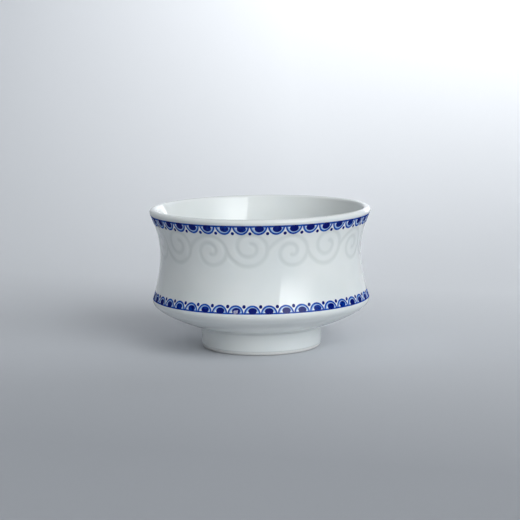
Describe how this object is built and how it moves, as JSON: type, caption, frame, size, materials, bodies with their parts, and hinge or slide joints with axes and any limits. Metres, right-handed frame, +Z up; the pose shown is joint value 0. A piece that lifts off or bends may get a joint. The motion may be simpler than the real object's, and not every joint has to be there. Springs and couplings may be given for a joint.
{
  "type": "teacup",
  "caption": "Small waisted porcelain teacup on a foot ring, with cobalt scalloped borders at rim and shoulder and a pale scroll frieze between them.",
  "frame": {"origin": "on the cup's axis, in the plane that the foot ring rests on (bottom centre of the bounding box)", "axes": "+Z up along the cup's axis of revolution; -Y is the side with the first small scroll 27.7 degrees to its left"},
  "size_m": [0.068, 0.068, 0.0432],
  "materials": {
    "porcelain": "clear glossy glaze over white porcelain",
    "foot_porcelain": "clear glossy glaze, wiped off the resting edge",
    "cobalt_print": "cobalt transfer print under clear glaze",
    "scroll_glaze": "pale grey-green glaze filling shallow cut lines"
  },
  "bodies": {
    "root": {"porcelain_body": "porcelain", "foot_ring": "foot_porcelain", "upper_border": "cobalt_print", "lower_border": "cobalt_print", "small_scroll_1": "scroll_glaze", "small_scroll_2": "scroll_glaze", "small_scroll_3": "scroll_glaze", "small_scroll_4": "scroll_glaze", "small_scroll_5": "scroll_glaze", "small_scroll_6": "scroll_glaze", "small_scroll_7": "scroll_glaze", "small_scroll_8": "scroll_glaze", "large_scroll_1": "scroll_glaze", "large_scroll_2": "scroll_glaze", "large_scroll_3": "scroll_glaze", "large_scroll_4": "scroll_glaze", "large_scroll_5": "scroll_glaze", "large_scroll_6": "scroll_glaze", "large_scroll_7": "scroll_glaze", "large_scroll_8": "scroll_glaze"}
  },
  "joints": []
}
